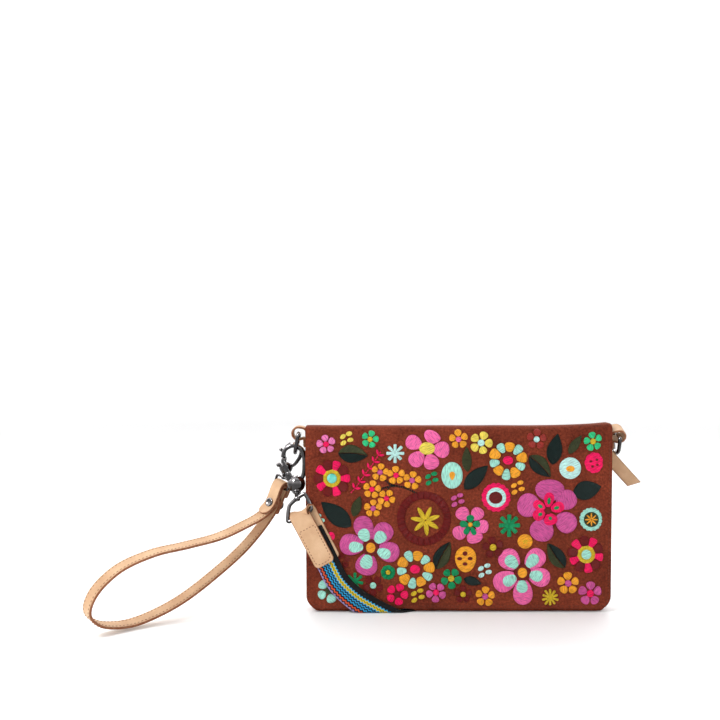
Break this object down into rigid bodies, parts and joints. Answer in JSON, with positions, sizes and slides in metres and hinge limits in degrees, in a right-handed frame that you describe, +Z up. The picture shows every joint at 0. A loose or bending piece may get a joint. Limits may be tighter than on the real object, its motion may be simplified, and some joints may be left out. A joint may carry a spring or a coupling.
{
  "type": "wristlet wallet",
  "caption": "Slim flap wallet in embroidered suede, with a zip pocket behind, card pockets inside, leather wrist loop and webbing shoulder strap on snap clasps.",
  "frame": {"origin": "middle of the case's base, on the surface it stands on", "axes": "+X to the right seen from the front, +Y to the back, +Z up; the flap faces -Y"},
  "size_m": [0.4693, 0.2364, 0.163],
  "materials": {
    "suede": "napped suede, reddish brown, matt",
    "lining": "fine dark brown cotton twill",
    "natural_leather": "smooth vegetable-tanned, satin, darker cut edges",
    "dark_metal": "polished dark nickel",
    "zip_tape": "woven tape",
    "webbing": "striped woven webbing"
  },
  "bodies": {
    "wallet": {"back_panel": "suede", "front_panel": "suede", "gusset": "suede", "zip_pocket_lining": "lining", "divider": "lining", "card_pocket_1": "natural_leather", "card_pocket_2": "natural_leather", "card_pocket_3": "natural_leather", "zip_tape_upper": "zip_tape", "zip_tape_lower": "zip_tape", "zip_teeth": "dark_metal", "zip_stop_closed": "dark_metal", "zip_stop_open": "dark_metal", "magnet_case": "dark_metal", "side_loop_left": "natural_leather", "side_loop_right": "natural_leather", "strap_front": "webbing", "strap_link": "webbing", "strap_hank": "webbing", "strap_tail": "webbing", "strap_tab_front": "natural_leather", "strap_tab_far": "natural_leather", "swivel_front": "dark_metal", "swivel_far": "dark_metal"},
    "flap_top_part": {"flap_top": "suede", "flap_top_lining": "lining"},
    "flap_front_part": {"flap_front": "suede", "flap_front_lining": "lining", "magnet_flap": "dark_metal"},
    "slider": {"zip_slider": "dark_metal"},
    "pull": {"zip_pull": "natural_leather"},
    "ring_left": {"d_ring_left": "dark_metal"},
    "ring_right": {"d_ring_right": "dark_metal"},
    "hook_front": {"clasp_front": "dark_metal", "gate_pin_front": "dark_metal"},
    "latch_front": {"gate_front": "dark_metal"},
    "hook_far": {"clasp_far": "dark_metal", "gate_pin_far": "dark_metal"},
    "latch_far": {"gate_far": "dark_metal"},
    "hook_wrist": {"clasp_wrist": "dark_metal", "gate_pin_wrist": "dark_metal"},
    "latch_wrist": {"gate_wrist": "dark_metal"},
    "ring_wrist": {"swivel_wrist": "dark_metal"},
    "wrist_loop": {"wrist_strap": "natural_leather", "wrist_rivet": "dark_metal"}
  },
  "joints": [
    {"name": "flap_top_hinge", "type": "hinge", "parent": "wallet", "child": "flap_top_part", "pos_m": [0, 0.012, 0.16035], "axis": [-1, 0, 0], "range_deg": [0, 170], "deforming": ["strap_front"]},
    {"name": "flap_front_hinge", "type": "hinge", "parent": "flap_top_part", "child": "flap_front_part", "pos_m": [0, -0.012, 0.16125], "axis": [-1, 0, 0], "range_deg": [0, 90], "deforming": ["strap_front"]},
    {"name": "zip_slide", "type": "slide", "parent": "wallet", "child": "slider", "axis": [-1, 0, 0], "range_m": [0, 0.235]},
    {"name": "zip_pull_swing", "type": "hinge", "parent": "slider", "child": "pull", "pos_m": [0.1219, 0.0155, 0.148], "axis": [0, 1, 0], "range_deg": [-40, 130]},
    {"name": "ring_left_swing", "type": "hinge", "parent": "wallet", "child": "ring_left", "pos_m": [-0.1395, 0, 0.154], "axis": [0, 1, 0], "range_deg": [-3, 10]},
    {"name": "ring_right_swing", "type": "hinge", "parent": "wallet", "child": "ring_right", "pos_m": [0.1395, 0, 0.1535], "axis": [0, 0.9397, 0.342], "range_deg": [-80, 10]},
    {"name": "clasp_front_turn", "type": "hinge", "parent": "wallet", "child": "hook_front", "pos_m": [-0.1416, -0.004, 0.11], "axis": [0.0895, -0.5235, -0.8473], "range_deg": [0, 6]},
    {"name": "gate_front_press", "type": "hinge", "parent": "hook_front", "child": "latch_front", "pos_m": [-0.1486, -0.004, 0.1182], "axis": [0, 1, 0], "range_deg": [0, 20], "stiffness_Nm_per_rad": 0.03, "springref_deg": -11.46},
    {"name": "clasp_far_turn", "type": "hinge", "parent": "wallet", "child": "hook_far", "pos_m": [-0.07217, 0.11982, 0.0151], "axis": [0.7929, 0.3118, -0.5235], "range_deg": [-6, 25]},
    {"name": "gate_far_press", "type": "hinge", "parent": "hook_far", "child": "latch_far", "pos_m": [-0.08267, 0.12224, 0.0151], "axis": [0, 0, 1], "range_deg": [0, 20], "stiffness_Nm_per_rad": 0.03, "springref_deg": -11.46},
    {"name": "clasp_wrist_swing", "type": "hinge", "parent": "ring_left", "child": "hook_wrist", "pos_m": [-0.1424, 0.0052, 0.1378], "axis": [0, 1, 0], "range_deg": [-6, 12]},
    {"name": "gate_wrist_press", "type": "hinge", "parent": "hook_wrist", "child": "latch_wrist", "pos_m": [-0.15356, 0.01134, 0.13035], "axis": [0.239, 0.8942, 0.3785], "range_deg": [0, 20], "stiffness_Nm_per_rad": 0.03, "springref_deg": -11.46},
    {"name": "wrist_swivel_turn", "type": "hinge", "parent": "hook_wrist", "child": "ring_wrist", "pos_m": [-0.152, 0.0142, 0.1226], "axis": [-0.2351, 0.0962, -0.9672], "range_deg": [-8, 40]},
    {"name": "wrist_loop_swing", "type": "hinge", "parent": "ring_wrist", "child": "wrist_loop", "pos_m": [-0.1564, 0.016, 0.1045], "axis": [-0.6592, 0.7191, 0.2197], "range_deg": [-30, 50]}
  ]
}
